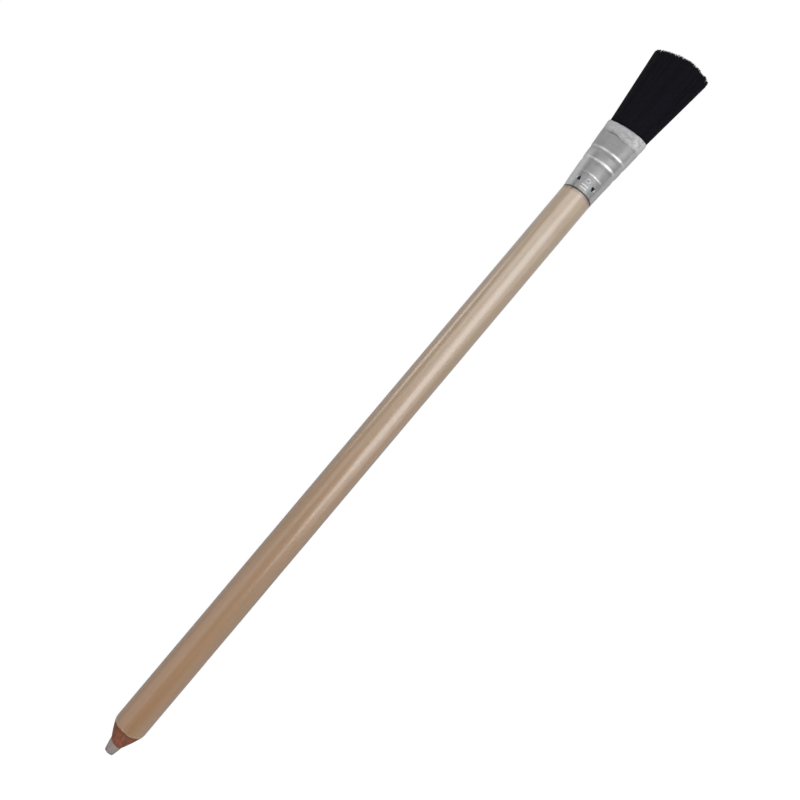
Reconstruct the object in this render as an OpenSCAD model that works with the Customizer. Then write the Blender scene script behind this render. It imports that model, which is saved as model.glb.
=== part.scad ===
// Wood-cased eraser pencil with a flat dusting brush held in a crimped ferrule.
// It lies along X with the eraser tip towards -X and the flat of the brush level.
// The origin is on the resting surface, under the middle of the whole length.

/* [Barrel] */
// Outer diameter of the lacquered barrel
barrel_d = 7.5; // [6.8:0.1:9]
// Length of the full-diameter barrel, from the cone to the ferrule's seat
barrel_len = 152; // [60:0.5:180]
// Thickness of the lacquer film
lacquer_t = 0.1; // [0.06:0.02:0.2]
// Thickness of the glue film between the two slats
glue_t = 0.1; // [0.06:0.02:0.2]

/* [Tip] */
// Diameter of the eraser core
core_d = 3.3; // [2.6:0.1:4.2]
// Diameter of the blunt end of the core
point_d = 2.2; // [1.2:0.1:2.5]
// Rounding of the blunt end's rim
point_round = 0.25; // [0.1:0.05:0.5]
// Length of core that stands out of the wood
core_out = 2.8; // [1.5:0.1:4]
// Length of the sharpened cone of wood
cone_len = 4.5; // [3:0.1:12]

/* [Ferrule] */
// Length of the ferrule, from the barrel's shoulder to the mouth
ferrule_len = 18; // [17:0.5:22]
// Wall of the ferrule
ferrule_wall = 0.3; // [0.25:0.05:0.4]
// Width of the flattened mouth, across the brush
mouth_w = 10.3; // [9:0.1:11]
// Thickness of the flattened mouth
mouth_t = 4.4; // [4:0.1:5.4]
// Squareness of the mouth's outline, where 2 is an ellipse
mouth_power = 2.8; // [2:0.1:3.4]
// Distance of the first deep crimp from the ferrule's lower edge
crimp_at = 8; // [7:0.1:9]
// Distance between the two deep crimps
crimp_pitch = 3.1; // [2:0.1:4]
// Depth of a deep crimp
crimp_depth = 0.25; // [0.1:0.05:0.35]
// Length of a crimp along the ferrule
crimp_len = 1.4; // [0.8:0.1:1.8]
// Distance of the fine rolled line from the ferrule's lower edge
line_at = 4.5; // [3.9:0.1:5.3]
// Distance of the pressed band's edge from the mouth
band_len = 2.8; // [2.2:0.1:3.4]
// Depth of the fine line and of the band's edge
line_depth = 0.06; // [0.02:0.02:0.12]
// Distance of the punch marks from the ferrule's lower edge
punch_at = 2.2; // [1.2:0.1:2.8]
// Length of a punch mark along the ferrule
punch_len = 0.9; // [0.5:0.1:1.2]
// Depth of a punch mark
punch_depth = 0.2; // [0.1:0.05:0.24]

/* [Inside the ferrule] */
// Length of the wooden tenon that the ferrule is pushed over
tenon_len = 5; // [3:0.1:5.6]
// Gap between the tenon's end and the glue plug
plug_gap = 0.1; // [0.05:0.05:0.5]

/* [Bristles] */
// Free length of the bristles beyond the mouth
bristle_len = 20.2; // [12:0.2:30]
// Width of the fan at the bristles' ends
fan_w = 14; // [10:0.2:18]
// Thickness of the fan at the bristles' ends
fan_t = 4.8; // [4:0.2:6]
// How far the bristles' ends have drifted to one side in use
fan_lean = 0.6; // [0:0.1:2]
// How much shorter the bristles at the fan's two sides are
fan_arc = 0.5; // [0:0.1:3]
// How unevenly the bristles are cut
ragged = 0.45; // [0:0.05:1]
// Rows of bristles through the brush's thickness
bristle_rows = 11; // [10:1:11]
// Distance between bristles of a row at their roots
bristle_pitch = 0.4; // [0.38:0.01:0.46]
// Thickness of the bonded slice that the bristles grow from
root_slice = 0.4; // [0.2:0.05:0.6]
// Depth of the slice's face below the mouth
root_depth = 0.2; // [0.1:0.05:0.4]

/* [Fits] */
// Gap between the glued pieces and what holds them
fit_gap = 0.05; // [0.02:0.01:0.08]
// Gap between the ferrule's lower edge and the barrel's shoulder
seat_gap = 0.1; // [0.05:0.05:0.3]
// Gap between the bristle roots and the ferrule's wall, which lets the tuft flex
flex_gap = 0.3; // [0.25:0.05:0.5]

/* [Hidden] */

$fn = 96;
sides = 48;       // corners of a ferrule section, a multiple of the punch marks
punch_marks = 6;  // punch marks around the ferrule, the first one at the brush's side
root_fill = 0.7;  // size of a bristle's root in its cell
tip_fill = 1.1;   // size of a bristle's end compared with its root
crown = 0.94;     // height of the outermost rows of bristles in their outline
past = 1;         // how far a cutting shape runs past what it cuts
near = 0.05;      // least distance between two stations of the plug

barrel_r = barrel_d / 2;
wood_r = barrel_r - lacquer_t;
core_r = core_d / 2;
point_r = point_d / 2;
film_on_cone = lacquer_t * cone_len / (barrel_r - core_r);

// Stations along the pencil, measured from the eraser's end
wood_at = core_out;
shoulder_at = wood_at + cone_len;
seat_at = shoulder_at + barrel_len;
ferrule_at = seat_at + seat_gap;
tenon_end = seat_at + tenon_len;
mouth_at = ferrule_at + ferrule_len;
whole_len = mouth_at + bristle_len;

// Ferrule sections, at a distance u from its lower edge
function half_w(u) = barrel_r + (mouth_w / 2 - barrel_r) * u / ferrule_len;
function half_t(u) = barrel_r + (mouth_t / 2 - barrel_r) * u / ferrule_len;
function power(u) = 2 + (mouth_power - 2) * u / ferrule_len;

// A crimp is one wave of a cosine, as deep as its depth in the middle
function crimp(u, at, depth) =
    abs(u - at) >= crimp_len / 2 ? 0 : depth * (1 + cos(360 * (u - at) / crimp_len)) / 2;
deep_crimps = [crimp_at, crimp_at + crimp_pitch];
fine_lines = [line_at, ferrule_len - band_len];
function pressed(u) =
    crimp(u, deep_crimps[0], crimp_depth) + crimp(u, deep_crimps[1], crimp_depth)
    + crimp(u, fine_lines[0], line_depth) + crimp(u, fine_lines[1], line_depth);

// Corner k of the section at u, drawn in by the crimps and by an inset, as [y, z].
// The corners start half a step up from the brush's side, so the section lies on a flat.
function signed_power(v, p) = sign(v) * pow(abs(v), p);
function corner(u, k, inset) =
    let (angle = 360 * (k + 0.5) / sides, p = 2 / power(u), shrink = inset + pressed(u))
    [(half_w(u) - shrink) * signed_power(cos(angle), p),
     (half_t(u) - shrink) * signed_power(sin(angle), p)];

// A punch mark pulls in one corner of the outer wall at its station
function is_punched(u, k) = u == punch_at && k % (sides / punch_marks) == 0;
function wall_corner(u, k) = corner(u, k, is_punched(u, k) ? punch_depth : 0);

// Stations of the ferrule's wall, finer at each crimp and punch mark
function crimp_stations(at, steps) = [for (i = [-steps:steps]) at + crimp_len / 2 * i / steps];
wall_stations = concat(
    [0, punch_at - punch_len / 2, punch_at, punch_at + punch_len / 2],
    crimp_stations(fine_lines[0], 1),
    crimp_stations(deep_crimps[0], 3),
    crimp_stations(deep_crimps[1], 3),
    crimp_stations(fine_lines[1], 1),
    [ferrule_len]
);

// The plug runs from the tenon to the bristles' root slice, which sits flat on it
plug_from = tenon_len - seat_gap + plug_gap;
plug_to = ferrule_len - root_depth - root_slice;
plug_stations = concat(
    [plug_from],
    [for (u = wall_stations) if (u > plug_from + near && u < plug_to - near) u],
    [plug_to]
);

// Moves from the pencil's own stations to the part's frame
module in_place() {
    translate([-whole_len / 2, 0, barrel_r]) children();
}

// Turns a profile of [station, radius] points about the pencil's axis
module turned(profile) {
    rotate([90, 0, 90]) rotate_extrude()
        polygon([for (p = profile) [p[1], p[0]]]);
}

// One triangle turned over, because a polyhedron's faces run clockwise from outside
function turned_over(f) = [f[0], f[2], f[1]];

// Triangles between ring a and ring b of a sweep, each ring `sides` points long
function band(a, b) = [
    for (k = [0:sides - 1]) let (next = (k + 1) % sides)
        each [[a + k, b + k, b + next], [a + k, b + next, a + next]]
];

// The wooden body that the two slats and their glue film share
module wood_body() {
    turned([
        [wood_at, 0],
        [wood_at, core_r],
        [shoulder_at - film_on_cone, wood_r],
        [seat_at, wood_r],
        [seat_at, barrel_r - ferrule_wall - fit_gap],
        [tenon_end, half_t(tenon_len) - ferrule_wall - fit_gap - line_depth],
        [tenon_end, 0]
    ]);
}

// Room for the core, right through the wood
module core_groove() {
    rotate([0, 90, 0]) cylinder(r = core_r + fit_gap, h = tenon_end + past);
}

// Half of the wood, above the glue film, or below it where side is -1
module slat(side) {
    in_place() difference() {
        intersection() {
            wood_body();
            translate([0, -barrel_r, side > 0 ? glue_t / 2 : -barrel_r - glue_t / 2])
                cube([tenon_end + past, 2 * barrel_r, barrel_r]);
        }
        core_groove();
    }
}

module slat_upper() {
    color("sienna") slat(1);
}

module slat_lower() {
    color("sienna") slat(-1);
}

// The two strips of glue, one each side of the core
module slat_glue_film() {
    color("peru") in_place() difference() {
        intersection() {
            wood_body();
            translate([0, -barrel_r, -glue_t / 2])
                cube([tenon_end + past, 2 * barrel_r, glue_t]);
        }
        core_groove();
    }
}

// One rod of eraser, blunt at the tip and as long as the wood
module eraser_core() {
    rim = [for (a = [0:22.5:90])
        [point_round * (1 - cos(a)), point_r - point_round * (1 - sin(a))]];
    color("lightgray") in_place() turned(concat(
        [[0, 0]],
        rim,
        [[core_out, core_r], [tenon_end, core_r], [tenon_end, 0]]
    ));
}

// The lacquer film, cut through by the sharpened cone
module lacquer_coat() {
    color("tan") in_place() turned([
        [shoulder_at, barrel_r],
        [shoulder_at - film_on_cone, wood_r],
        [seat_at, wood_r],
        [seat_at, barrel_r]
    ]);
}

// A tube of thin metal, round on the barrel and pressed flat at the mouth
module ferrule() {
    last = len(wall_stations) - 1;
    inner = (last + 1) * sides;
    points = concat(
        [for (u = wall_stations, k = [0:sides - 1])
            let (c = wall_corner(u, k)) [ferrule_at + u, c[0], c[1]]],
        [for (u = wall_stations, k = [0:sides - 1])
            let (c = corner(u, k, ferrule_wall)) [ferrule_at + u, c[0], c[1]]]
    );
    faces = concat(
        [for (i = [0:last - 1]) each band(i * sides, (i + 1) * sides)],
        [for (i = [0:last - 1], f = band(inner + i * sides, inner + (i + 1) * sides)) turned_over(f)],
        [for (f = band(0, inner)) turned_over(f)],
        band(last * sides, inner + last * sides)
    );
    color("silver") in_place() polyhedron(points, faces);
}

// The hardened glue that holds the bristles' roots in the ferrule
module bristle_glue_plug() {
    last = len(plug_stations) - 1;
    ends = len(plug_stations) * sides;
    points = concat(
        [for (u = plug_stations, k = [0:sides - 1])
            let (c = corner(u, k, ferrule_wall + fit_gap)) [ferrule_at + u, c[0], c[1]]],
        [[ferrule_at + plug_from, 0, 0], [ferrule_at + plug_to, 0, 0]]
    );
    faces = concat(
        [for (i = [0:last - 1]) each band(i * sides, (i + 1) * sides)],
        [for (k = [0:sides - 1]) [ends, k, (k + 1) % sides]],
        [for (k = [0:sides - 1]) [ends + 1, last * sides + (k + 1) % sides, last * sides + k]]
    );
    color("goldenrod") in_place() polyhedron(points, faces);
}

// The tuft's root slice is laid out in lines across the brush, one above another
root_half_w = mouth_w / 2 - ferrule_wall - flex_gap;
root_half_t = mouth_t / 2 - ferrule_wall - flex_gap;
function line_level(j) = crown * (2 * j / bristle_rows - 1);
function line_half(j) =
    root_half_w * pow(1 - pow(abs(line_level(j)), mouth_power), 1 / mouth_power);
line_steps = [for (j = [0:bristle_rows]) max(2, round(2 * line_half(j) / bristle_pitch))];
line_first = [for (j = 0, n = 0; j <= bristle_rows; n = n + line_steps[j] + 1, j = j + 1) n];
line_points = [
    for (j = [0:bristle_rows], i = [0:line_steps[j]])
        [line_half(j) * (2 * i / line_steps[j] - 1), root_half_t * line_level(j)]
];

// Point of the line above that the lower line's step i leans on
function above(i, n, m) = floor((i + 0.5) * m / n + 0.5);

// Triangular cells between line j and the next, anticlockwise seen from the bristles' ends
function row_cells(j) =
    let (n = line_steps[j], m = line_steps[j + 1], low = line_first[j], high = line_first[j + 1])
    concat(
        [for (i = [0:n - 1]) [low + i, low + i + 1, high + above(i, n, m)]],
        [for (i = [0:m - 1])
            let (passed = len([for (s = [0:n - 1]) if (above(s, n, m) <= i) s]))
            [high + i, low + passed, high + i + 1]]
    );
cells = [for (j = [0:bristle_rows - 1]) each row_cells(j)];
centres = [for (c = cells) (line_points[c[0]] + line_points[c[1]] + line_points[c[2]]) / 3];

// Ends of the bristles: a shallow arc across the fan, cut a little unevenly
uneven = rands(0, ragged, len(cells), 7);
reach = [for (i = [0:len(cells) - 1])
    -fan_arc * pow(centres[i][0] / root_half_w, 2) - uneven[i]];
function bristle_end(i) = whole_len + reach[i] - max(reach);

// Bristles run on straight rays that spread from the slice, so that none of them cross
outer_w = max([for (c = centres) abs(c[0])]);
outer_t = max([for (c = centres) abs(c[1])]);
end_r = bristle_pitch / 2 * root_fill * tip_fill;
face_at = mouth_at - root_depth;
function ray_end(i) = let (
    c = centres[i],
    far = [fan_lean + c[0] * (fan_w / 2 - end_r) / outer_w, c[1] * (fan_t / 2 - end_r) / outer_t]
) c + (far - c) * (bristle_end(i) - face_at) / (whole_len - face_at);

// The slice's outline, anticlockwise seen from the bristles' ends
outline = concat(
    [for (i = [0:line_steps[0]]) i],
    [for (j = [1:bristle_rows - 1]) line_first[j] + line_steps[j]],
    [for (i = [line_steps[bristle_rows]:-1:0]) line_first[bristle_rows] + i],
    [for (j = [bristle_rows - 1:-1:1]) line_first[j]]
);

// Bristles as one closed solid: each grows from a cell of the bonded slice that holds its root
module bristle_tuft() {
    back_at = face_at - root_slice;
    tops = len(line_points);
    rims = len(outline);
    roots = tops + rims + 1;
    points = concat(
        [for (p = line_points) [face_at, p[0], p[1]]],
        [for (i = outline) [back_at, line_points[i][0], line_points[i][1]]],
        [[back_at, 0, 0]],
        [for (i = [0:len(cells) - 1]) each let (
            c = centres[i],
            s = ray_end(i),
            corners = [for (v = cells[i]) (line_points[v] - c) * root_fill]
        ) concat(
            [for (v = corners) [face_at, c[0] + v[0], c[1] + v[1]]],
            [for (v = corners) [bristle_end(i), s[0] + v[0] * tip_fill, s[1] + v[1] * tip_fill]]
        )]
    );
    faces = concat(
        [for (k = [0:rims - 1]) let (next = (k + 1) % rims) each [
            [tops + k, tops + next, outline[next]],
            [tops + k, outline[next], outline[k]],
            [tops + rims, tops + next, tops + k]
        ]],
        [for (i = [0:len(cells) - 1]) each let (c = cells[i], root = roots + 6 * i, end = root + 3) concat(
            [for (k = [0:2]) let (next = (k + 1) % 3) each [
                [c[k], c[next], root + next],
                [c[k], root + next, root + k],
                [root + k, root + next, end + next],
                [root + k, end + next, end + k]
            ]],
            [[end, end + 1, end + 2]]
        )]
    );
    color("black") in_place() polyhedron(points, [for (f = faces) turned_over(f)]);
}

echo(whole_len = whole_len, bristles = len(cells));

eraser_core();
slat_upper();
slat_lower();
slat_glue_film();
lacquer_coat();
ferrule();
bristle_glue_plug();
bristle_tuft();
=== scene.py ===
"""Wood-cased eraser pencil with a flat dusting brush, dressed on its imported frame.

Lengths are metres. +X runs from the eraser point to the brush and +Z is up.
The angle round the pencil is counted from +Y towards +Z.
"""

import math

import bpy
import numpy as np
from mathutils import Matrix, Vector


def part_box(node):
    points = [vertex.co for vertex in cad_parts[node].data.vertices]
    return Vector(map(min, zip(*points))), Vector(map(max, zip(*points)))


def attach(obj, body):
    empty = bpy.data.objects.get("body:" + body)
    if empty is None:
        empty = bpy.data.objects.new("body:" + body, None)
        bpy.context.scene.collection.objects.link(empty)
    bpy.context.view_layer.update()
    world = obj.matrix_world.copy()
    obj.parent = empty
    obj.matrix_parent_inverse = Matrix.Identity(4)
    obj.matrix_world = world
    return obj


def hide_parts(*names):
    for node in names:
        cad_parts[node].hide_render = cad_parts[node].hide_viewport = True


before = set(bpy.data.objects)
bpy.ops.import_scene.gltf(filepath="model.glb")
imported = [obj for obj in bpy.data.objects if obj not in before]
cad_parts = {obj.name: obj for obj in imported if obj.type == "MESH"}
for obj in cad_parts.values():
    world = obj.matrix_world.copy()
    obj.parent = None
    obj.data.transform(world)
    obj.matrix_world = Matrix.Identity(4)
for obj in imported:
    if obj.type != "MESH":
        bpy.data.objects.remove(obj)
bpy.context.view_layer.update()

MM = 0.001
TURN = 2 * math.pi
QUARTER = math.pi / 2

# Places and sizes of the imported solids
core_low, core_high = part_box("eraser_core")
film_low, film_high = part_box("slat_glue_film")
coat_low, coat_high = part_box("lacquer_coat")
ferrule_low, ferrule_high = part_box("ferrule")
tuft_low, tuft_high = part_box("bristle_tuft")
axis_z = (coat_low.z + coat_high.z) / 2
barrel_r = (coat_high.y - coat_low.y) / 2
core_r = (core_high.y - core_low.y) / 2
point_x = core_low.x
core_end_x = core_high.x
seat_x = coat_high.x
wood_end_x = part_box("slat_upper")[1].x
ferrule_x = ferrule_low.x
mouth_x = ferrule_high.x
ferrule_len = mouth_x - ferrule_x
mouth_half_w = (ferrule_high.y - ferrule_low.y) / 2
bristle_end_x = tuft_high.x
film_half_t = (film_high.z - film_low.z) / 2

# Sizes that the boxes don't give
clearance = 0.005 * MM
lacquer_t = 0.1 * MM
wood_r = barrel_r - lacquer_t
core_out = 2.8 * MM
cone_len = 4.5 * MM
wood_x = point_x + core_out
shoulder_x = wood_x + cone_len
point_r = 1.15 * MM
point_round = 0.12 * MM
mouth_half_t = 2.2 * MM
ferrule_wall = 0.3 * MM
bore_clearance = 0.06 * MM
tenon_r = barrel_r - ferrule_wall - 0.05 * MM
tenon_end_r = tenon_r - 0.55 * MM
bristle_root_x = mouth_x - 0.6 * MM

# Points round each of the three finest round pieces
eraser_sides = 160
lacquer_sides = 288
ferrule_sides = 352


def ripples(seed, waves, lengths, *places):
    """An uneven field from about -1 to 1: a sum of sine waves with random directions and phases.

    lengths has the usual length of a wave along each of the places.
    """
    draw = np.random.default_rng(seed)
    total = 0
    for _ in range(waves):
        phase = draw.uniform(0, TURN)
        turns = [draw.normal() / length for length in lengths]
        total = total + np.sin(phase + TURN * sum(t * p for t, p in zip(turns, places)))
    return total / math.sqrt(2 * waves)


def bump(distance, width):
    """1 at no distance and 0 from half the width on, in the shape of one wave of a cosine."""
    return np.where(np.abs(distance) < width / 2, (1 + np.cos(TURN * distance / width)) / 2, 0)


def groove(distance, width):
    """A bump whose side towards +X is steep, and whose side towards -X is long."""
    return bump(distance * np.where(distance < 0, 0.6, 1.3), width)


def rise(value, low, high):
    """0 below low, 1 above high, and a smooth step between them."""
    t = np.clip((value - low) / (high - low), 0, 1)
    return t * t * (3 - 2 * t)


def window(value, low, high, soft):
    """1 between low and high, with a smooth fall to 0 over a soft length outside them."""
    return rise(value, low - soft, low) * (1 - rise(value, high, high + soft))


def round_points(x, r, angle):
    """Points at station x, radius r and that angle round the pencil's axis."""
    x, r, angle = np.broadcast_arrays(x, r, angle)
    return np.stack([x, r * np.cos(angle), axis_z + r * np.sin(angle)], -1)


def grid_quads(ids, wrap_rows=False, wrap_cols=False):
    """Quads over a grid of point numbers, facing out where rows run along +X and columns round it."""
    if wrap_rows:
        ids = np.concatenate([ids, ids[:1]])
    if wrap_cols:
        ids = np.concatenate([ids, ids[:, :1]], 1)
    return np.stack([ids[:-1, :-1], ids[:-1, 1:], ids[1:, 1:], ids[1:, :-1]], -1).reshape(-1, 4)


def numbers(points):
    """The number of each point of a grid of points."""
    return np.arange(points[..., 0].size).reshape(points.shape[:-1])


def ring_shell(points):
    """A closed skin: rows run along a closed profile, and columns run round the pencil."""
    return points.reshape(-1, 3), grid_quads(numbers(points), True, True), []


def capped_shell(points):
    """A closed skin round the pencil, whose first and last rows each close on a point of the axis."""
    rows, cols = points.shape[:2]
    ends = points[[0, -1]].mean(1)
    ids = numbers(points)
    start, stop = rows * cols, rows * cols + 1
    first, last = ids[0], ids[-1]
    tris = np.concatenate([
        np.stack([np.full(cols, start), np.roll(first, -1), first], -1),
        np.stack([last, np.roll(last, -1), np.full(cols, stop)], -1),
    ])
    return np.concatenate([points.reshape(-1, 3), ends]), grid_quads(ids, False, True), tris


def block_shell(points):
    """The closed skin of a block of points: six grids with shared edges.

    The block's three directions are right-handed.
    """
    ids = numbers(points)
    quads = np.concatenate([
        grid_quads(side) for side in (
            ids[0].T, ids[-1],
            ids[:, 0], ids[:, -1].T,
            ids[:, :, 0].T, ids[:, :, -1],
        )
    ])
    used, quads = np.unique(quads[:, ::-1], return_inverse=True)
    return points.reshape(-1, 3)[used], quads.reshape(-1, 4), []


def joined(*shells):
    """Several skins as one."""
    points, quads, first = [], [], 0
    for shell in shells:
        points.append(shell[0])
        quads.append(shell[1] + first)
        first += len(shell[0])
    return np.concatenate(points), np.concatenate(quads), []


def make_piece(name, shell, material, slot, nodes, sharp=math.radians(40), **marks):
    """Makes a skin into a piece that rides on the root body and stands for those nodes.

    marks are numbers for each point, which the material reads by their name.
    """
    points, quads, tris = shell
    corners = np.concatenate([np.ravel(quads), np.ravel(tris)]).astype(np.int32)
    counts = np.concatenate([np.full(len(quads), 4), np.full(len(tris), 3)])
    mesh = bpy.data.meshes.new(name)
    mesh.vertices.add(len(points))
    mesh.vertices.foreach_set("co", points.astype(np.float32).ravel())
    mesh.loops.add(len(corners))
    mesh.loops.foreach_set("vertex_index", corners)
    mesh.polygons.add(len(counts))
    mesh.polygons.foreach_set("loop_start", (np.cumsum(counts) - counts).astype(np.int32))
    mesh.update(calc_edges=True)
    mesh.validate()
    mesh.shade_smooth()
    mesh.set_sharp_from_angle(angle=sharp)
    for mark, values in marks.items():
        layer = mesh.attributes.new(mark, "FLOAT", "POINT")
        layer.data.foreach_set("value", values.astype(np.float32).ravel())
    mesh.materials.append(material)
    piece = bpy.data.objects.new(name, mesh)
    bpy.context.scene.collection.objects.link(piece)
    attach(piece, "root")
    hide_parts(*nodes)
    return piece


class Wire:
    """An output socket of a material's nodes. Its operators add Math nodes."""

    def __init__(self, tree, socket):
        self.tree = tree
        self.socket = socket

    def add(self, kind, settings, inputs, output=0):
        """Adds a node of that kind, sets it up, feeds its sockets, and returns one of its outputs."""
        node = self.tree.nodes.new("ShaderNode" + kind)
        for name, value in settings.items():
            setattr(node, name, value)
        for plug, value in inputs.items():
            if isinstance(value, Wire):
                self.tree.links.new(value.socket, node.inputs[plug])
            else:
                node.inputs[plug].default_value = value
        return Wire(self.tree, node.outputs[output])

    def math(self, operation, first, second):
        """The result of one Math node for two values, each a Wire or a number."""
        return self.add("Math", {"operation": operation}, {0: first, 1: second})

    def __add__(self, other):
        return self.math("ADD", self, other)

    def __radd__(self, other):
        return self.math("ADD", other, self)

    def __sub__(self, other):
        return self.math("SUBTRACT", self, other)

    def __rsub__(self, other):
        return self.math("SUBTRACT", other, self)

    def __mul__(self, other):
        return self.math("MULTIPLY", self, other)

    def __rmul__(self, other):
        return self.math("MULTIPLY", other, self)

    def step(self, low, high):
        """0 below low, 1 above high, and a smooth step between them. low may be above high."""
        inputs = {"Value": self, "From Min": low, "From Max": high}
        return self.add("MapRange", {"interpolation_type": "SMOOTHSTEP"}, inputs)

    def paint(self, low, high):
        """A colour that goes from low to high as this value goes from 0 to 1."""
        return self.add("Mix", {"data_type": "RGBA"}, {0: self, 6: low, 7: high}, 2)

    def noise(self, per_metre, detail=2.0, rough=0.5):
        """Noise from 0 to 1, with so many waves to the metre along each axis of this vector."""
        place = self.add("VectorMath", {"operation": "MULTIPLY"}, {0: self, 1: per_metre})
        inputs = {"Vector": place, "Scale": 1.0, "Detail": detail, "Roughness": rough}
        return self.add("TexNoise", {}, inputs)

    def along(self, axis):
        """One coordinate of this vector."""
        return self.add("SeparateXYZ", {}, {0: self}, axis)

    def relief(self, height, distance):
        """A bumped normal, where a height of 1 stands that many metres out."""
        return self.add("Bump", {}, {"Strength": 1.0, "Distance": distance, "Height": height})


def srgb(red, green, blue):
    """A colour written as on a screen, from 0 to 255, in the linear values that a shader takes."""
    shares = [c / 255 for c in (red, green, blue)]
    return [s / 12.92 if s < 0.04045 else ((s + 0.055) / 1.055) ** 2.4 for s in shares] + [1.0]


def new_material(name, constants, recipe):
    """A Principled material: constants are set on its shader, and recipe gives what changes over it."""
    made = bpy.data.materials.new(name)
    made.use_nodes = True
    tree = made.node_tree
    shader = next(n for n in tree.nodes if n.type == "BSDF_PRINCIPLED")
    for plug, value in constants.items():
        shader.inputs[plug].default_value = value
    place = Wire(tree, tree.nodes.new("ShaderNodeTexCoord").outputs["Object"])
    for plug, wire in recipe(place).items():
        tree.links.new(wire.socket, shader.inputs[plug])
    return made


def mark(place, name):
    """A mark that a piece's points carry."""
    return place.add("Attribute", {"attribute_name": name}, {}, "Fac")


def lacquer_recipe(place):
    """Beige lacquer over fine wood, painted darker and browner towards the point as shade.

    It has long faint streaks, a broad mottle, pores, flecks at the cut edge and painted shade at the seat.
    """
    streak = place.noise((25, 900, 900), 4.0, 0.6)
    mottle = place.noise((160, 260, 260), 3.0, 0.5)
    film = streak.step(0.3, 0.7).paint(srgb(149, 130, 108), srgb(156, 136, 114))
    # Painted shade: the film is darker and browner towards the point, where less light falls.
    tanned = streak.step(0.3, 0.7).paint(srgb(145, 113, 84), srgb(152, 119, 90))
    film = place.along(0).step(0.07, -0.1).paint(film, tanned)
    warm = mottle.step(0.5, 0.72) * 0.3
    colour = warm.paint(film, srgb(145, 116, 89))
    pores = place.noise((400, 5200, 5200), 2.0, 0.5).step(0.69, 0.78) * 0.3
    colour = pores.paint(colour, srgb(124, 98, 74))
    flecks = place.noise((2600, 2600, 2600), 2.0, 0.6).step(0.46, 0.58)
    primer = mark(place, "cut_edge") * flecks * 0.25
    colour = primer.paint(colour, srgb(214, 196, 178))
    # Painted shade: a dark brown line at the seat, where the ferrule's edge shades the barrel.
    stain = place.noise((1500, 1500, 1500), 2.0, 0.5).step(0.2, 0.8)
    seat = mark(place, "seat_edge") * (stain * 0.4 + 0.6)
    colour = seat.paint(colour, srgb(74, 56, 44))
    rough = streak * 0.06 + place.noise((700, 700, 700), 2.0, 0.5) * 0.06 + 0.24
    peel = place.noise((300, 1300, 1300), 2.0, 0.5)
    return {"Base Color": colour, "Roughness": rough, "Normal": place.relief(peel, 0.012 * MM)}


def cedar_recipe(place):
    """Bare reddish cedar: straight grain along the pencil, cut across by the sharpener's blade."""
    grain = place.noise((60, 2400, 1500), 4.0, 0.65)
    bands = place.noise((30, 600, 420), 2.0, 0.5)
    colour = grain.step(0.32, 0.68).paint(srgb(108, 61, 44), srgb(142, 86, 64))
    colour = (bands.step(0.5, 0.7) * 0.5).paint(colour, srgb(124, 84, 56))
    dust = place.noise((1900, 1900, 1900), 3.0, 0.6).step(0.6, 0.74) * 0.4
    colour = dust.paint(colour, srgb(176, 124, 96))
    dark = mark(place, "paint_side") * (bands * 0.6 + 0.4)
    colour = (dark * 0.8).paint(colour, srgb(92, 62, 42))
    fibres = grain + place.noise((500, 5000, 5000), 2.0, 0.5) * 0.5
    rough = grain * 0.2 + 0.62
    return {"Base Color": colour, "Roughness": rough, "Normal": place.relief(fibres, 0.03 * MM)}


def eraser_recipe(place):
    """Warm grey eraser compound: gritty, smeared by use, darker round its blunt end."""
    grit = place.noise((5200, 5200, 5200), 3.0, 0.7)
    smear = place.noise((350, 1700, 1700), 3.0, 0.5)
    colour = smear.step(0.3, 0.7).paint(srgb(129, 119, 118), srgb(146, 135, 132))
    colour = (grit.step(0.6, 0.75) * 0.4).paint(colour, srgb(178, 168, 163))
    worn = mark(place, "worn") * (smear * 0.5 + 0.5)
    colour = worn.paint(colour, srgb(88, 91, 88))
    dusty = mark(place, "wood_side") * smear.step(0.35, 0.6)
    colour = (dusty * 0.6).paint(colour, srgb(152, 128, 106))
    rough = smear * 0.12 + 0.72
    return {"Base Color": colour, "Roughness": rough, "Normal": place.relief(grit, 0.03 * MM)}


def ferrule_recipe(place):
    """Dull aluminium with scratches round it, with burnished lines carrying painted highlights, painted
    sheen, painted shade at its edges and hollows, and pits painted black as shade.
    """
    rub = place.noise((2400, 500, 500), 3.0, 0.6)
    cloud = place.noise((330, 330, 330), 3.0, 0.6)
    grain = place.noise((2200, 2200, 2200), 2.0, 0.6)
    colour = rub.step(0.3, 0.7).paint(srgb(138, 138, 139), srgb(147, 147, 147))
    colour = (cloud.step(0.5, 0.7) * 0.4).paint(colour, srgb(133, 133, 135))
    # Painted sheen: the pale mark lightens the sides and patches beside the crimps, where light falls on
    # them.
    colour = mark(place, "pale").paint(colour, srgb(206, 206, 206))
    scuffed = mark(place, "scuffed")
    speck = grain.step(0.45, 0.7) * scuffed
    colour = (speck * 0.7).paint(colour, srgb(196, 196, 197))
    # Painted highlight: bright burnished lines where the lamps would glint on crimps, rings, burrs and the
    # dimple's rim.
    bright = mark(place, "rubbed") * (rub.step(0.2, 0.6) * 0.4 + 0.6)
    colour = bright.paint(colour, srgb(226, 226, 226))
    # Painted shade: dark at the ferrule's lower edge, in the dimple and crease, and over the bore and rims.
    grime = mark(place, "grime") * (cloud * 0.6 + 0.4)
    colour = (grime * 0.7).paint(colour, srgb(62, 56, 50))
    # Painted shade: the punch pits are painted near black, as deep shade.
    pit = mark(place, "pierced")
    colour = pit.paint(colour, srgb(6, 6, 6))
    rough = rub * 0.08 + scuffed * grain * 0.12 - bright * 0.16 + pit * 0.4 + 0.47
    height = rub * 0.5 + grain * (scuffed * 1.2 + 0.2)
    return {
        "Base Color": colour,
        "Roughness": rough,
        "Metallic": 1 - pit,
        "Normal": place.relief(height, 0.012 * MM),
    }


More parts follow.
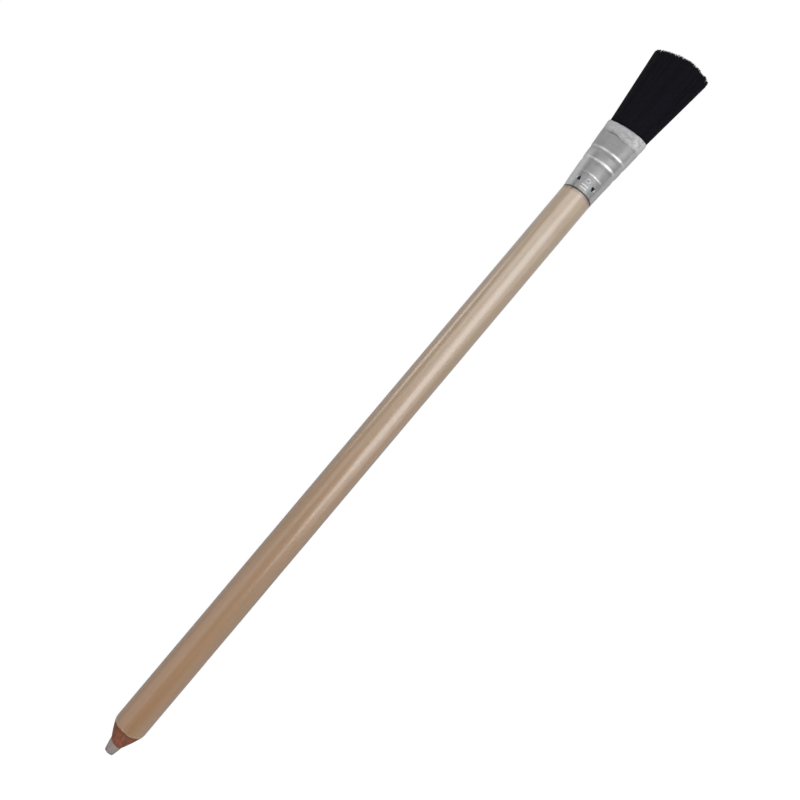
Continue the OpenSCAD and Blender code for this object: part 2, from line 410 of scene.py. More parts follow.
def bristle_recipe(place):
    """Black fibres, some a shade browner than others, with fine scuffs along them."""
    shade = mark(place, "shade")
    colour = shade.paint(srgb(14, 13, 20), srgb(22, 20, 29))
    scuff = place.noise((900, 9000, 9000), 2.0, 0.5)
    rough = scuff * 0.2 + 0.5
    return {"Base Color": colour, "Roughness": rough, "Normal": place.relief(scuff, 0.01 * MM)}


def resin_recipe(place):
    """Hard amber glue with trapped dust."""
    cloud = place.noise((700, 700, 700), 3.0, 0.5)
    colour = cloud.step(0.3, 0.7).paint(srgb(150, 106, 46), srgb(190, 146, 82))
    return {"Base Color": colour, "Roughness": cloud * 0.2 + 0.35, "Normal": place.relief(cloud, 0.05 * MM)}


def film_recipe(place):
    """The slats' glue line: a thin tan film, stained by the wood."""
    cloud = place.noise((300, 1500, 1500), 3.0, 0.5)
    colour = cloud.step(0.3, 0.7).paint(srgb(128, 82, 58), srgb(158, 112, 80))
    return {"Base Color": colour, "Roughness": cloud * 0.2 + 0.6, "Normal": place.relief(cloud, 0.02 * MM)}


gloss = {"Specular IOR Level": 0.65, "Coat Weight": 1.0, "Coat IOR": 1.6, "Coat Roughness": 0.28}
lacquer = new_material("beige_lacquer", gloss, lacquer_recipe)
cedar = new_material("cut_cedar", {"Specular IOR Level": 0.3}, cedar_recipe)
eraser = new_material("eraser_compound", {"Specular IOR Level": 0.3}, eraser_recipe)
dull_metal = new_material("dull_ferrule_metal", {}, ferrule_recipe)
bristle = new_material("black_bristle", {"Specular IOR Level": 0.1}, bristle_recipe)
resin = new_material("amber_resin", {}, resin_recipe)
glue = new_material("slat_glue", {}, film_recipe)


# The sharpened end. The sharpener cut a little off the core's axis, so the core's line slants,
# and its blade left shallow flats round the cone.
slant = 0.35 * MM
slant_angle = math.radians(25)
line_wave = 0.05 * MM
core_bared = 0.12 * MM
edge_wave = 0.12 * MM
edge_fine_wave = 0.036 * MM
edge_top_shift = 0.35 * MM
edge_sides_shift = -0.15 * MM
edge_low_shift = 0.45 * MM
flat_depth = 0.035 * MM
flat_twist_len = 18 * MM
cone_bulge = 0.12 * MM


def core_line(angle):
    """Station at which the wood's cone meets the core: a circle, slanted."""
    return wood_x + slant * np.cos(angle - slant_angle) + line_wave * ripples(3, 6, (1.2,), angle)


def core_edge_r(angle):
    """Radius at the core's line: the core's own, and a little more where the slanted cut bared more."""
    return core_r + core_bared * (1 + np.cos(angle - slant_angle)) / 2


def paint_line(angle):
    """Station at which the cone meets the barrel's full width: a circle with the blade's uneven waves.

    It lies a little nearer the point at the sides, and further from it on top and towards -Y.
    """
    y, z = np.cos(angle), np.sin(angle)
    broad = ripples(5, 7, (2.2, 2.2), y, z)
    fine = ripples(6, 12, (0.35, 0.35), y, z)
    shift = edge_top_shift * np.clip(z, 0, 1) ** 4 + edge_sides_shift * y ** 2
    shift = shift + edge_low_shift * rise(-y, 0.45, 0.85)
    return shoulder_x + edge_wave * broad + edge_fine_wave * fine + shift


def blade_flats(x, angle):
    """Depth of the blade's shallow flats: two rings of cosine lobes, which turn slowly along the cone."""
    turned = angle / 2 + (x - wood_x) / flat_twist_len
    broad = np.abs(np.cos(7 * turned + 0.4))
    narrow = np.abs(np.cos(11 * turned + 1.9))
    return flat_depth * (0.7 * broad + 0.3 * narrow)


def cone_r(x, angle):
    """Radius of the wood's cone, which rises evenly from the core's line to the paint's line.

    It is a little full in the middle, less the blade's flats.
    """
    low, high = core_line(angle), paint_line(angle)
    share = np.clip((x - low) / (high - low), 0, 1)
    full = cone_bulge * (1 + 0.12 * np.cos(angle)) - blade_flats(x, angle)
    edge_r = core_edge_r(angle)
    return edge_r + (barrel_r - edge_r) * share + full * 4 * share * (1 - share)


def film_line(angle):
    """Station at which the cone comes out from under the lacquer film."""
    return paint_line(angle) - lacquer_t * cone_len / (barrel_r - core_r)


end_wear = 0.15 * MM
end_chips = 0.02 * MM
worn_len = 0.9 * MM
dusty_len = 1.1 * MM
cone_swell = 0.02 * MM
smear_depth = 0.025 * MM
pit_depth = 0.012 * MM
pit_len = 0.35 * MM
bore_step = 0.02 * MM


def build_eraser():
    """One rod: a worn end, a rounded rim, a cone up to the wood and a straight body in the wood.

    The end is flat across, and worn back on top. The cone swells a little, and has smeared streaks and pits.
    """
    angle = np.linspace(0, TURN, eraser_sides, endpoint=False)
    face = np.linspace(0.04, 1, 9)[:, None]
    rim = np.linspace(0, 1, 9)[1:, None] * QUARTER
    cone = np.linspace(0, 1, 42)[1:, None]
    body = np.linspace(0, 1, 12)[1:, None]
    back = np.linspace(1, 0.05, 6)[1:, None]
    flat_r = point_r - point_round
    wear = end_wear * rise(np.sin(angle), 0.45, 1) + end_chips * np.abs(ripples(11, 9, (1.5,), angle))
    start = point_x + clearance
    line = core_line(angle)
    rim_x = start + wear + point_round * (1 - np.cos(rim))
    rim_r = flat_r + point_round * np.sin(rim)
    cone_x = (start + wear + point_round) * (1 - cone) + line * cone
    smears = ripples(12, 16, (0.25, 0.25, 3 * MM), np.cos(angle), np.sin(angle), cone_x)
    uneven = cone_swell * np.sin(math.pi * cone) + smear_depth * smears * 4 * cone * (1 - cone)
    cone_radius = point_r + (core_edge_r(angle) - point_r) * cone + uneven
    body_x = line * (1 - body) + core_end_x * body
    rows = [
        (start + wear * face, flat_r * face),
        (rim_x, rim_r),
        (cone_x, cone_radius),
        (line[None] + bore_step, core_r),
        (body_x, core_r + 0 * body),
        (core_end_x + 0 * back, core_r * back),
    ]
    points = np.concatenate([round_points(x, r, angle) for x, r in rows])
    station, side, up = points[..., 0], points[..., 1], points[..., 2]
    reach = np.maximum(1 - (station - point_x) / worn_len, 0) * (0.75 + 0.4 * (side / point_r) ** 2)
    pits = ripples(13, 40, (pit_len,) * 3, station, side, up)
    out = rise(station, point_x, point_x + 0.5 * MM) * (station < core_line(angle))
    spread = 1 - pit_depth * np.maximum(pits, 0) * out / np.hypot(side, up - axis_z)
    points[..., 1] = side * spread
    points[..., 2] = axis_z + (up - axis_z) * spread
    patchy = ripples(14, 12, (0.8 * MM,) * 3, station, side, up)
    worn = np.clip(reach * (1.2 + 0.4 * patchy), 0, 1)
    wood_side = rise(station, wood_x - dusty_len, wood_x + 0.2 * MM)
    make_piece(
        "eraser_rod", capped_shell(points), eraser, "eraser_compound", ["eraser_core"],
        worn=np.append(worn, [1, 0]), wood_side=np.append(wood_side, [0, 1]),
    )


def casing_stations(angle):
    """Stations of the casing and its outer radius there: cone, barrel, step at the seat and tapered tenon."""
    low, high = core_line(angle), film_line(angle)
    cone = np.linspace(0, 1, 60)[:, None]
    barrel = np.linspace(0, 1, 30)[1:, None]
    taper = np.linspace(0, 1, 8)[:, None]
    cone_x = low * (1 - cone) + high * cone
    barrel_x = high * (1 - barrel) + seat_x * barrel
    taper_x = seat_x * (1 - taper) + wood_end_x * taper + 0 * angle
    radii = [
        np.minimum(cone_r(cone_x, angle), wood_r),
        wood_r + 0 * barrel_x,
        tenon_r + (tenon_end_r - tenon_r) * taper + 0 * angle,
    ]
    return np.concatenate([cone_x, barrel_x, taper_x]), np.concatenate(radii)


def build_slat(name, node, first_angle):
    """Half of the casing: a block that runs along the pencil, out from the core and round the axis."""
    turn = np.linspace(0, math.pi, 120)
    x, outer = casing_stations(first_angle + turn)
    share = np.linspace(0, 1, 4)[None, :, None]
    radius = core_r + (outer[:, None, :] - core_r) * share
    inset = np.arcsin(film_half_t / radius)
    angle = first_angle + inset + (math.pi - 2 * inset) * turn / math.pi
    points = round_points(x[:, None, :], radius, angle)
    shell = block_shell(points)
    station = shell[0][:, 0]
    make_piece(
        name, shell, cedar, "cedar", [node],
        paint_side=rise(station, shoulder_x - 1.3 * MM, shoulder_x - 0.1 * MM),
    )


def build_glue_line():
    """The glue between the slats: a flat strip each side of the core, cut flush by the sharpener."""
    strips = []
    for side_angle in (0, math.pi):
        x, outer = casing_stations(np.array([side_angle]))
        share = np.linspace(0, 1, 5)[None, :, None]
        out = core_r + (outer[:, :, None] - clearance - core_r) * share
        up = film_half_t * np.array([-1, 1])[None, None, :]
        towards = math.cos(side_angle)
        places = np.broadcast_arrays(x[:, :, None], towards * out, axis_z + towards * up)
        strips.append(block_shell(np.stack(places, -1)))
    make_piece("slat_glue_line", joined(*strips), glue, "wood_glue", ["slat_glue_film"])


film_waves = 0.008 * MM
edge_loss = 0.05 * MM
edge_loss_len = 0.12 * MM


def build_lacquer():
    """The lacquer film: a tube with long shallow waves, cut by the cone and rounded at its seat."""
    angle = np.linspace(0, TURN, lacquer_sides, endpoint=False)
    cut = np.linspace(0, 1, 5)[:-1, None]
    wall = (np.linspace(0, 1, 230)[:, None]) ** 1.25
    lip = np.linspace(0, 1, 7)[1:, None] * QUARTER
    bore = np.linspace(1, 0, 24)[:, None]
    lip_r = 0.8 * lacquer_t
    start, edge = film_line(angle), paint_line(angle)
    wall_x = edge * (1 - wall) + (seat_x - lip_r) * wall
    y, z = barrel_r * np.cos(angle), barrel_r * np.sin(angle)
    waves = film_waves * (1 + ripples(21, 18, (22 * MM, 4 * MM, 4 * MM), wall_x, y, z))
    worn_edge = edge_loss * np.exp(-(wall_x - edge) / edge_loss_len)
    rows = [
        (start * (1 - cut) + edge * cut, wood_r + (lacquer_t - edge_loss) * cut),
        (wall_x, barrel_r - np.clip(waves, 0, None) - worn_edge),
        (seat_x - lip_r + lip_r * np.sin(lip), barrel_r - lip_r * (1 - np.cos(lip))),
        (start * (1 - bore) + seat_x * bore, wood_r + 0 * bore),
    ]
    points = np.concatenate([round_points(x, r, angle) for x, r in rows])
    station = points[..., 0]
    cut_edge = 1 - rise(station, edge + 0.1 * MM, edge + 0.45 * MM)
    # Painted shade: this mark darkens the lacquer just under the ferrule's edge.
    seat_edge = rise(station, seat_x - 0.2 * MM, seat_x - 0.06 * MM)
    make_piece(
        "barrel_lacquer", ring_shell(points), lacquer, "lacquer", ["lacquer_coat"],
        cut_edge=cut_edge, seat_edge=seat_edge,
    )


# The ferrule's pressed features, at distances from its lower edge
crimps = (7.75 * MM, 10.7 * MM)
crimp_len = 1.4 * MM
crimp_depths = (0.12 * MM, 0.09 * MM)
crimp_top = 0.8
rolled_line = 4.35 * MM
rolled_depth = 0.02 * MM
fine_rings = (0.95 * MM, 1.6 * MM, 2.1 * MM)
ring_depth = 0.014 * MM
wall_waves = 0.008 * MM
band_from = ferrule_len - 2.8 * MM
band_dip = 0.5 * MM
band_depth = 0.03 * MM
crumple_depth = 0.03 * MM
crumple_len = 1.7 * MM
crease_depth = 0.07 * MM
punch_at = 2.3 * MM
punch_size = 0.49 * MM
punch_depth = 0.27 * MM
punch_stretch = 1.45
punch_stagger = 0.08 * MM
punch_lean = math.radians(25)
first_punch = math.radians(66)
punch_marks = 6
burr_out = 0.6 * MM
burr_len = 0.7 * MM
burr_height = 0.05 * MM
dimple_at = 2.95 * MM
dimple_r = 0.42 * MM
dimple_angle = math.radians(98)
dimple_depth = 0.05 * MM
dimple_rim = 0.03 * MM
mouth_power = 2.8
seat_flare = 0.025 * MM
seat_drift = 0.08 * MM
mouth_drift = 0.25 * MM
mouth_ragged = 0.06 * MM
mouth_slant = 0.2 * MM


def ferrule_section(u, angle, inset, loose):
    """A superellipse at distance u up the ferrule: a circle at the barrel, wide and flat at the mouth.

    Where it is loose, it flares a little just above the barrel and is pressed off centre towards +Y.
    """
    share = u / ferrule_len
    power = 2 / (2 + (mouth_power - 2) * share ** 2)
    flared = rise(u, 0, 3 * MM) * loose
    half_w = barrel_r + (mouth_half_w - barrel_r) * share + seat_flare * flared - inset
    half_t = barrel_r + (mouth_half_t - barrel_r) * share - inset
    drift = seat_drift * flared + mouth_drift * share * loose
    y = half_w * np.sign(np.cos(angle)) * np.abs(np.cos(angle)) ** power + drift
    z = half_t * np.sign(np.sin(angle)) * np.abs(np.sin(angle)) ** power
    return y, z


def band_line(y):
    """Distance up the ferrule at which the crumpled band starts: a little less on the side of -Y."""
    return band_from - band_dip * (1 - rise(y, 0, 1.5 * MM))


def from_dimple(u, angle):
    """Distance over the wall from the middle of the dimple."""
    return np.hypot(u - dimple_at, (angle - dimple_angle) * barrel_r)


def punched(u, angle):
    """Depth of the punch marks, and how much of a point lies in a pit and on its burr.

    The pits are triangles, longer along the ferrule than round it.
    """
    depth, inside, raised = 0, 0, 0
    for k in range(punch_marks):
        centre = first_punch + TURN * k / punch_marks
        around = (angle - centre + math.pi) % TURN - math.pi
        flip = (-1) ** k
        side = around * barrel_r
        along = (u - punch_at - punch_stagger * flip) / punch_stretch
        leans = [punch_lean * flip + TURN * corner / 3 for corner in range(3)]
        edges = [side * math.cos(lean) + along * math.sin(lean) for lean in leans]
        distance = sum(np.clip(edge, 0, None) ** 3 for edge in edges) ** (1 / 3) / (punch_size / 2)
        pit = np.clip(1.3 - distance, 0, 1)
        outward = -side * math.copysign(1, math.cos(centre))
        burr = bump(np.hypot(outward - burr_out, along), burr_len)
        depth = depth + punch_depth * pit - burr_height * burr
        inside = inside + rise(pit, 0.02, 0.14)
        raised = raised + burr
    return depth, inside, raised


def pressed_depth(u, angle, y, z):
    """How far the wall is pressed in: crimps, rings, the band at the mouth, and dents from handling."""
    uneven = ripples(31, 8, (9 * MM, 3.5 * MM, 3.5 * MM), u, y, z)
    depth = wall_waves * (1 + ripples(32, 14, (4 * MM,) * 3, u, y, z))
    flank = crimp_top + (1 - crimp_top) * np.cos(angle) ** 4 - 0.3 * window(y, 2 * MM, 3.2 * MM, 0.7 * MM)
    for at, deep in zip(crimps, crimp_depths):
        wandering = u - at - 0.08 * MM * uneven
        depth = depth + deep * flank * (0.95 + 0.14 * uneven) * groove(wandering, crimp_len)
    depth = depth + rolled_depth * (1 + uneven) * bump(u - rolled_line, 0.5 * MM)
    for at in fine_rings:
        depth = depth + ring_depth * (1 + uneven) * bump(u - at, 0.32 * MM)
    away = from_dimple(u, angle)
    depth = depth + dimple_depth * bump(away, 1.2 * dimple_r) - dimple_rim * bump(away - dimple_r, 0.5 * MM)
    above = u - band_line(y)
    band = rise(above, -0.25 * MM, 0.2 * MM)
    crumple = ripples(33, 40, (crumple_len,) * 3, u, y, z) * (0.7 - 0.3 * np.cos(angle))
    depth = depth + band * (band_depth + crumple_depth * crumple)
    crease = bump(above, 0.5 * MM) * rise(y, 0.6 * MM, 1.6 * MM) * (z > 0)
    return depth + crease_depth * crease


# Where across the ferrule, in y, each crimp carries its painted highlight most strongly, and both of them a
# little
crimp_rubs = ((-2.5 * MM, 0.05 * MM), (-2.6 * MM, -0.8 * MM))
both_rubbed = (0.9 * MM, 2.8 * MM)


def rubbed_marks(u, angle, y, z, burrs):
    """How bright the wall is painted, as burnishing and painted highlights: dimple's rim, burrs, crimps,
    rolled line and the two lowest rings.
    """
    # Painted highlight on the dimple's rim, brighter on one side.
    rubbed = (0.46 - 0.26 * np.cos(angle - 1.2)) * bump(from_dimple(u, angle) - dimple_r, 0.45 * MM)
    rubbed = rubbed + 0.7 * burrs
    # Painted highlight: each crimp is brightest across the span where the lamps glint on it.
    for at, (low, high) in zip(crimps, crimp_rubs):
        worn = 0.16 + 0.42 * window(y, low, high, 0.8 * MM) + 0.22 * window(y, *both_rubbed, 0.8 * MM)
        rubbed = rubbed + worn * bump(u - at - 0.25 * MM, 0.9 * MM)
    patchy = ripples(37, 8, (1.1 * MM, 1.1 * MM), y, z)
    # Painted highlight: the rolled line is bright where the lamps glint on it.
    worn = window(y, -2.4 * MM, 0.2 * MM, 0.5 * MM) * (0.8 + 0.4 * patchy)
    rubbed = rubbed + (0.15 + 0.75 * worn) * bump(u - rolled_line, 0.6 * MM)
    # Painted highlight: the two lowest rings glint only near the top.
    for at in fine_rings[:2]:
        rubbed = rubbed + 0.85 * window(y, -1.1 * MM, 0.1 * MM, 0.5 * MM) * bump(u - at, 0.38 * MM)
    return rubbed


def pale_marks(u, angle, y):
    """How pale the wall is painted: painted sheen on both sides, patches of painted sheen beside the crimps
    and towards -Y, and a paler band at the mouth.
    """
    across = np.cos(angle)
    pale = 0.95 * rise(across, 0.42, 0.71) * (1 - 0.6 * rise(u, 7 * MM, 12 * MM))
    pale = pale + 0.65 * rise(-across, 0.74, 0.92)
    pale = pale + 0.16 * window(y, -1.2 * MM, -0.4 * MM, 1.0 * MM) * (1 - rise(u, 8 * MM, 11 * MM))
    for at in crimps:
        pale = pale + 0.1 * bump(u - at + 0.7 * MM, 1.8 * MM) * (1 - across ** 4)
    pale = pale + 0.12 * window(y, -3.2 * MM, -2.2 * MM, 0.8 * MM) * rise(u, 9 * MM, 12 * MM)
    pale = pale + 0.13 * window(y, -2.7 * MM, -1.0 * MM, 0.6 * MM) * bump(u - 9.3 * MM, 2.2 * MM)
    return pale + 0.3 * rise(u - band_line(y), 0, 0.8 * MM)


def scuffed_marks(u, angle, y):
    """How scuffed the wall is: the band, most towards -Y, and the lowest stretch round the punch marks."""
    band = rise(u - band_line(y), -0.4 * MM, 0.6 * MM) * (0.6 - 0.4 * np.cos(angle))
    return band + 0.5 * (1 - rise(u, 2.6 * MM, 4 * MM))


def grime_marks(u, angle, y, z):
    """How dark the wall is painted as shade: its lower edge, the dimple, and the crease under the band."""
    crease = bump(u - band_line(y), 0.7 * MM) * window(y, 1.2 * MM, 2.6 * MM, 0.5 * MM) * (z > 0)
    edge = 1 - rise(u, 0.05 * MM, 0.3 * MM)
    return edge + 0.6 * bump(from_dimple(u, angle), dimple_r) + 0.5 * crease


def build_ferrule():
    """The ferrule: an outer wall with its pressed marks, a rounded mouth, a bore and a rounded edge."""
    angle = (np.arange(ferrule_sides) + 0.5) * TURN / ferrule_sides
    half = ferrule_wall / 2
    wall_u = np.linspace(0, 1, 196)[:, None] * (ferrule_len - ferrule_wall) + half
    turn = np.linspace(0, math.pi, 9)[1:-1, None]
    bore_u = np.linspace(1, 0, 28)[:, None] * (ferrule_len - ferrule_wall) + half
    y, z = ferrule_section(wall_u, angle, 0, 1)
    pits, inside, burrs = punched(wall_u, angle)
    depth = pressed_depth(wall_u, angle, y, z)
    keep = rise(wall_u, 0, 0.5 * MM)
    mouth_u, low_u = wall_u[-1], wall_u[0]
    rim_inset = half * (1 - np.cos(turn))
    crimped = sum(deep * groove(bore_u - at, crimp_len) for at, deep in zip(crimps, crimp_depths))
    rows = [
        (wall_u, depth * keep + pits, 1),
        (mouth_u + half * np.sin(turn), depth[-1] + rim_inset, 1),
        (bore_u, ferrule_wall + crimped + bore_clearance, 0.3),
        (low_u - half * np.sin(turn), ferrule_wall - rim_inset, 0),
    ]
    ragged = mouth_ragged * ripples(36, 10, (2 * MM, 2 * MM), y[-1], z[-1])
    ragged = ragged - mouth_slant * rise(y[-1], 0.5 * MM, 3.5 * MM)
    grid = []
    for u, inset, loose in rows:
        u, inset = np.broadcast_arrays(u + 0 * angle, inset + 0 * angle)
        side, up = ferrule_section(u, angle, inset, loose)
        station = ferrule_x + u + ragged * rise(u, band_from, ferrule_len)
        grid.append(np.stack([station, side, axis_z + up], -1))
    points = np.concatenate(grid)
    pad = [(0, len(points) - len(wall_u)), (0, 0)]

    def over_all(values, bare=0):
        """A mark of the outer wall, from 0 to 1, with one value on the rest of the ferrule."""
        return np.pad(np.clip(values + 0 * angle, 0, 1), pad, constant_values=bare)

    make_piece(
        "ferrule_shell", ring_shell(points), dull_metal, "ferrule_metal", ["ferrule"],
        rubbed=over_all(rubbed_marks(wall_u, angle, y, z, burrs)),
        pale=over_all(pale_marks(wall_u, angle, y)),
        pierced=over_all(inside),
        scuffed=over_all(scuffed_marks(wall_u, angle, y)),
        # The bore and rims take the painted shade in full.
        grime=over_all(grime_marks(wall_u, angle, y, z), 1),
    )


# The bristles
bristle_r = 0.07 * MM
bristle_pitch = 0.158 * MM
fan_half_w = (tuft_high.y - tuft_low.y) / 2
fan_half_t = (tuft_high.z - tuft_low.z) / 2
fan_lean = (tuft_high.y + tuft_low.y) / 2
fan_arc = 0.5 * MM
fan_skew = 0.45 * MM
longest_at = -0.33
longest_by = 0.3 * MM
end_gap = 0.1 * MM
least_end_gap = 0.02 * MM
own_cut_size = 0.1 * MM
stray = 0.05 * MM
sway_size = 0.06 * MM
lock_size = 1.5 * MM
lock_gather = (0.02, 0.16)
lock_cuts = (-0.22 * MM, 0.06 * MM)
root_drift = 0.3 * MM


def bristle_roots():
    """Places of the roots in the mouth, and their shares of its half width and half thickness.

    They are a packed pattern of rows, shaken a little and cut to the mouth's outline.
    """
    draw = np.random.default_rng(41)
    half_w = mouth_half_w - ferrule_wall - 0.12 * MM
    half_t = mouth_half_t - ferrule_wall - 0.1 * MM
    row = np.arange(-20, 21) * bristle_pitch * math.sqrt(3) / 2
    col = np.arange(-40, 41) * bristle_pitch
    z, y = np.meshgrid(row, col, indexing="ij")
    y = y + (np.arange(len(row)) % 2)[:, None] * bristle_pitch / 2
    y, z = y.ravel(), z.ravel()
    inside = np.abs(y / half_w) ** mouth_power + np.abs(z / half_t) ** mouth_power < 1
    y, z = y[inside], z[inside]
    shake = draw.uniform(-1, 1, (2, len(y))) * (bristle_pitch / 2 - bristle_r)
    return y + shake[0] + root_drift, z + shake[1], y / y.max(), z / z.max()


def build_bristles():
    """The fan: each bristle is a thin four-sided taper on a nearly straight ray.

    Its ray spreads the root's place in the mouth out to the fan's end, is drawn a little
    towards the middle of its lock of bristles, and stops at the fan's shallow uneven arc,
    which is longest a little to the side of -Y.
    """
    draw = np.random.default_rng(42)
    y, z, across, through = bristle_roots()
    count = len(y)
    far_y, far_z = across * (fan_half_w - bristle_r), through * (fan_half_t - bristle_r)
    column = np.round(far_y / lock_size + 0.3 * ripples(43, 5, (3 * MM,), far_z))
    layer = np.round(far_z / lock_size)
    lock = (column * 40 + layer).astype(int)
    names, member = np.unique(lock, return_inverse=True)
    size = np.bincount(member)
    middle_y = (np.bincount(member, far_y) / size)[member]
    middle_z = (np.bincount(member, far_z) / size)[member]
    gather = draw.uniform(*lock_gather, len(names))[member]
    inner = 1 - np.maximum(np.abs(across), np.abs(through)) ** 8
    far_y = far_y + (middle_y - far_y) * gather * inner + draw.normal(0, stray, count) * inner
    far_z = far_z + (middle_z - far_z) * gather * inner + draw.normal(0, stray, count) * inner
    lock_cut = draw.uniform(*lock_cuts, len(names))[member]
    own_cut = -np.abs(draw.normal(0, own_cut_size, count))
    end_x = bristle_end_x - end_gap - fan_arc * across ** 2 - fan_skew * rise(across, 0, 1)
    end_x = end_x - longest_by * rise(np.abs(across - longest_at), 0.1, 0.4) + lock_cut + own_cut
    end_x = np.minimum(end_x, bristle_end_x - least_end_gap)
    full = bristle_end_x - bristle_root_x
    share = np.array([0, 0.1, 0.3, 0.5, 0.7, 0.88, 0.985, 1.0])
    radius = bristle_r * np.array([1, 1, 1.05, 1.1, 1.15, 1.2, 1.2, 0.8])
    reach = ((end_x - bristle_root_x) / full)[:, None] * share
    bend = np.sin(math.pi * share)
    sway = draw.normal(0, sway_size, (2, count, 1)) * inner[:, None]
    line_y = y[:, None] + (far_y + fan_lean - y)[:, None] * share + sway[0] * bend
    line_z = z[:, None] + (far_z - z)[:, None] * share + sway[1] * bend
    line_x = bristle_root_x + full * reach
    corner = np.arange(4) * QUARTER + draw.uniform(0, QUARTER, (count, 1, 1))
    points = np.stack(np.broadcast_arrays(
        line_x[..., None],
        line_y[..., None] + radius[:, None] * np.cos(corner),
        axis_z + line_z[..., None] + radius[:, None] * np.sin(corner),
    ), -1)
    ids = numbers(points)
    around = np.concatenate([ids, ids[..., :1]], -1)
    sides = np.stack([around[:, :-1, :-1], around[:, :-1, 1:], around[:, 1:, 1:], around[:, 1:, :-1]], -1)
    quads = np.concatenate([sides.reshape(-1, 4), ids[:, 0, ::-1], ids[:, -1]])
    shade = np.clip(draw.normal(0.35, 0.25, len(names))[member] + draw.normal(0, 0.15, count), 0, 1)
    shades = np.repeat(shade, points.shape[1] * points.shape[2])
    make_piece(
        "bristle_fan", (points.reshape(-1, 3), quads, []), bristle, "bristle_fibre", ["bristle_tuft"],
        sharp=math.pi, shade=shades,
    )


build_eraser()
build_slat("cedar_upper", "slat_upper", 0.0)
build_slat("cedar_lower", "slat_lower", math.pi)
build_glue_line()
build_lacquer()
build_ferrule()
build_bristles()

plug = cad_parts["bristle_glue_plug"]
plug.data.materials.clear()
plug.data.materials.append(resin)


# The studio
camera_height = 145 * MM
camera_x = point_x + 99.95 * MM
camera_side = 0.825 * MM
camera_lens = 29.6
camera_heading = math.radians(49.9)
camera_roll = math.radians(9)
camera_pitch = math.radians(0.43)
lamp_height = 0.42
floor_half = 3.0
floor_white = 1.08
room_glow = 0.31

# Soft lamps: name, right, up, height, size and glow, as add_softbox takes them
softboxes = (
    ("key", 0.24, -0.08, lamp_height, (0.3, 0.54), 3.6),
    ("left", -0.34, -0.02, lamp_height, (0.24, 0.4), 0.64),
    ("far_left", -0.93, 1.0, lamp_height, (0.3, 0.5), 4.0),
    ("far_right", 0.86, -0.24, lamp_height, (0.7, 0.32), 1.05),
    ("top", 0.0, 0.33, lamp_height, (0.36, 0.36), 1.9),
    ("low_right", 0.54, -0.45, 0.3, (0.4, 0.4), 1.1),
    ("low_left", -0.61, 0.05, 0.3, (0.3, 0.3), 0.55),
    ("overhead", -0.1, 0.13, lamp_height, (0.36, 0.24), 0.55),
    ("brush_side", 0.29, 0.34, lamp_height, (0.3, 0.3), 0.5),
    ("middle", 0.035, 0.04, lamp_height, (0.1, 0.1), 2.0),
)


def stand(name, data, right, up, back, place):
    """Stands a camera or a lamp at a place, with its own axes along right, up and back."""
    stood = bpy.data.objects.new(name, data)
    bpy.context.scene.collection.objects.link(stood)
    rows = np.stack([right, up, back], 1)
    stood.matrix_world = Matrix([[*row, p] for row, p in zip(rows, place)] + [[0, 0, 0, 1]])
    return stood


def build_camera():
    """Looks down on the pencil, rolled about its axis by camera_roll, with the brush at the upper right."""
    cos_r, sin_r = math.cos(camera_roll), math.sin(camera_roll)
    along = np.array([math.cos(camera_pitch), 0, 0])
    back = np.array([0, -sin_r, cos_r])
    side = np.array([0, cos_r, sin_r])
    along = along + math.sin(camera_pitch) * back
    back = np.cross(along, side)
    right = math.cos(camera_heading) * along - math.sin(camera_heading) * side
    up = math.sin(camera_heading) * along + math.cos(camera_heading) * side
    place = np.array([camera_x, 0, axis_z]) + camera_height * back + camera_side * side
    data = bpy.data.cameras.new("camera")
    data.lens = camera_lens
    data.sensor_width = 36
    data.clip_start = 5 * MM
    bpy.context.scene.camera = stand("camera", data, right, up, back, place)


def add_softbox(name, right, up, height, size, glow):
    """A soft lamp that faces the pencil, so far right and up in the picture and so high over the pencil.

    size is its width and its height in the picture. glow is how bright it looks, where 1 is white.
    """
    across = np.array([math.sin(camera_heading + QUARTER), -math.sin(camera_heading), 0])
    upwards = np.array([math.sin(camera_heading), math.cos(camera_heading), 0])
    back = right * across + up * upwards + np.array([0, 0, height])
    place = back + np.array([0, 0, axis_z])
    back = back / np.linalg.norm(back)
    side = np.cross(upwards, back)
    side = side / np.linalg.norm(side)
    data = bpy.data.lights.new(name, "AREA")
    data.shape = "RECTANGLE"
    data.size, data.size_y = size
    data.energy = glow * math.pi * size[0] * size[1]
    stand(name, data, side, np.cross(back, side), back, place)


def ray_kinds(tree):
    """1 for a ray that the camera sees straight or through glass, and 1 for a mirrored ray."""
    path = tree.nodes.new("ShaderNodeLightPath")
    camera = Wire(tree, path.outputs["Is Camera Ray"])
    straight = camera.math("MAXIMUM", camera, Wire(tree, path.outputs["Is Transmission Ray"]))
    return straight, Wire(tree, path.outputs["Is Glossy Ray"])


def white_seen(tree, shader, plain, mirrored, level):
    """Shows shares of white, at that level, in a shader: plain to the camera, mirrored to mirrored rays."""
    straight, glossy = ray_kinds(tree)
    seen = straight * plain
    share = seen.math("MAXIMUM", seen, glossy * mirrored)
    mix = tree.nodes.new("ShaderNodeMixShader")
    white = tree.nodes.new("ShaderNodeEmission")
    white.inputs["Strength"].default_value = level
    tree.links.new(share.socket, mix.inputs[0])
    tree.links.new(shader, mix.inputs[1])
    tree.links.new(white.outputs[0], mix.inputs[2])
    return mix.outputs[0]


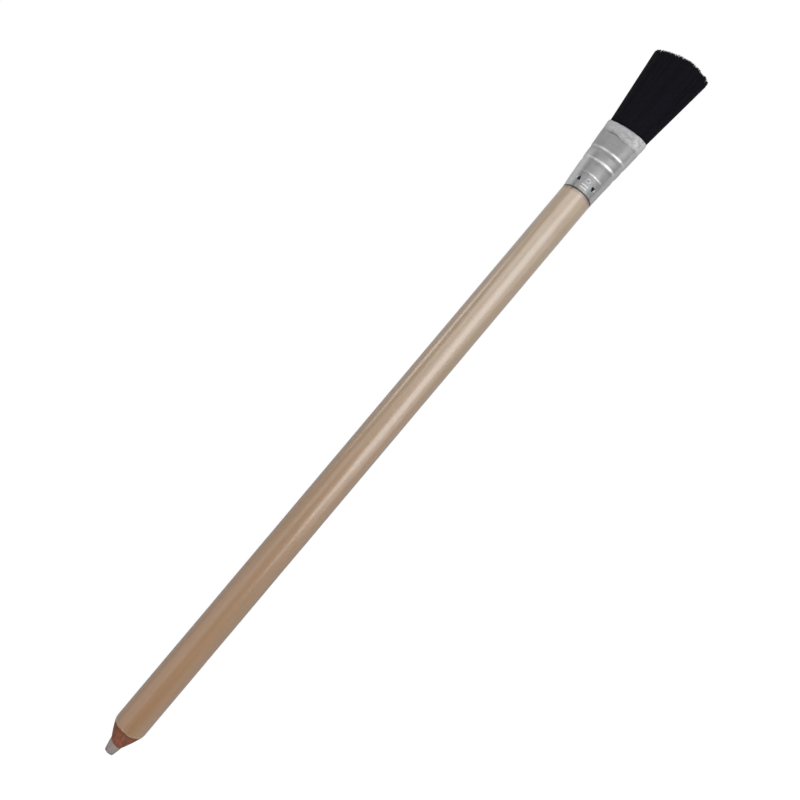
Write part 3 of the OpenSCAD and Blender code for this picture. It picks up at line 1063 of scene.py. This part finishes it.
def build_floor():
    """A pale floor that shows white, most of all far away, and keeps a faint part of the soft shadow.

    Mirrored rays see it paler under the brush than under the point.
    """
    corners = floor_half * np.array([[-1, -1, 0], [1, -1, 0], [1, 1, 0], [-1, 1, 0]])
    mesh = bpy.data.meshes.new("floor")
    mesh.from_pydata(corners.tolist(), [], [[0, 1, 2, 3]])
    pale = bpy.data.materials.new("pale_floor")
    pale.use_nodes = True
    tree = pale.node_tree
    shader = next(n for n in tree.nodes if n.type == "BSDF_PRINCIPLED")
    shader.inputs["Base Color"].default_value = srgb(164, 164, 164)
    shader.inputs["Roughness"].default_value = 0.9
    shader.inputs["Specular IOR Level"].default_value = 0.0
    out = next(n for n in tree.nodes if n.type == "OUTPUT_MATERIAL")
    place = Wire(tree, tree.nodes.new("ShaderNodeTexCoord").outputs["Object"])
    x, y = place.along(0), place.along(1)
    mirrored = x.step(-0.06, 0.12) * 0.4
    far_off = x * x + y * y
    plain = far_off.step(0.04, 0.5) * 0.1 + 0.9
    tree.links.new(white_seen(tree, shader.outputs[0], plain, mirrored, floor_white), out.inputs[0])
    mesh.materials.append(pale)
    floor = bpy.data.objects.new("floor", mesh)
    bpy.context.scene.collection.objects.link(floor)


def build_world():
    """A white room: plain white to the camera, and an even dim glow on what it lights.

    In mirrored rays it is pale near the horizon and dark overhead.
    """
    world = bpy.data.worlds.new("room")
    bpy.context.scene.world = world
    world.use_nodes = True
    tree = world.node_tree
    room = next(n for n in tree.nodes if n.type == "BACKGROUND")
    room.inputs["Color"].default_value = [1, 1, 1, 1]
    place = Wire(tree, tree.nodes.new("ShaderNodeTexCoord").outputs["Object"])
    mirrored = place.along(2).step(0.59, 0.2) * 0.36
    straight, glossy = ray_kinds(tree)
    strength = straight * (1 - room_glow) + glossy * (mirrored - room_glow) + room_glow
    tree.links.new(strength.socket, room.inputs["Strength"])


build_camera()
build_floor()
build_world()
for softbox in softboxes:
    add_softbox(*softbox)
bpy.context.scene.view_settings.view_transform = "Standard"
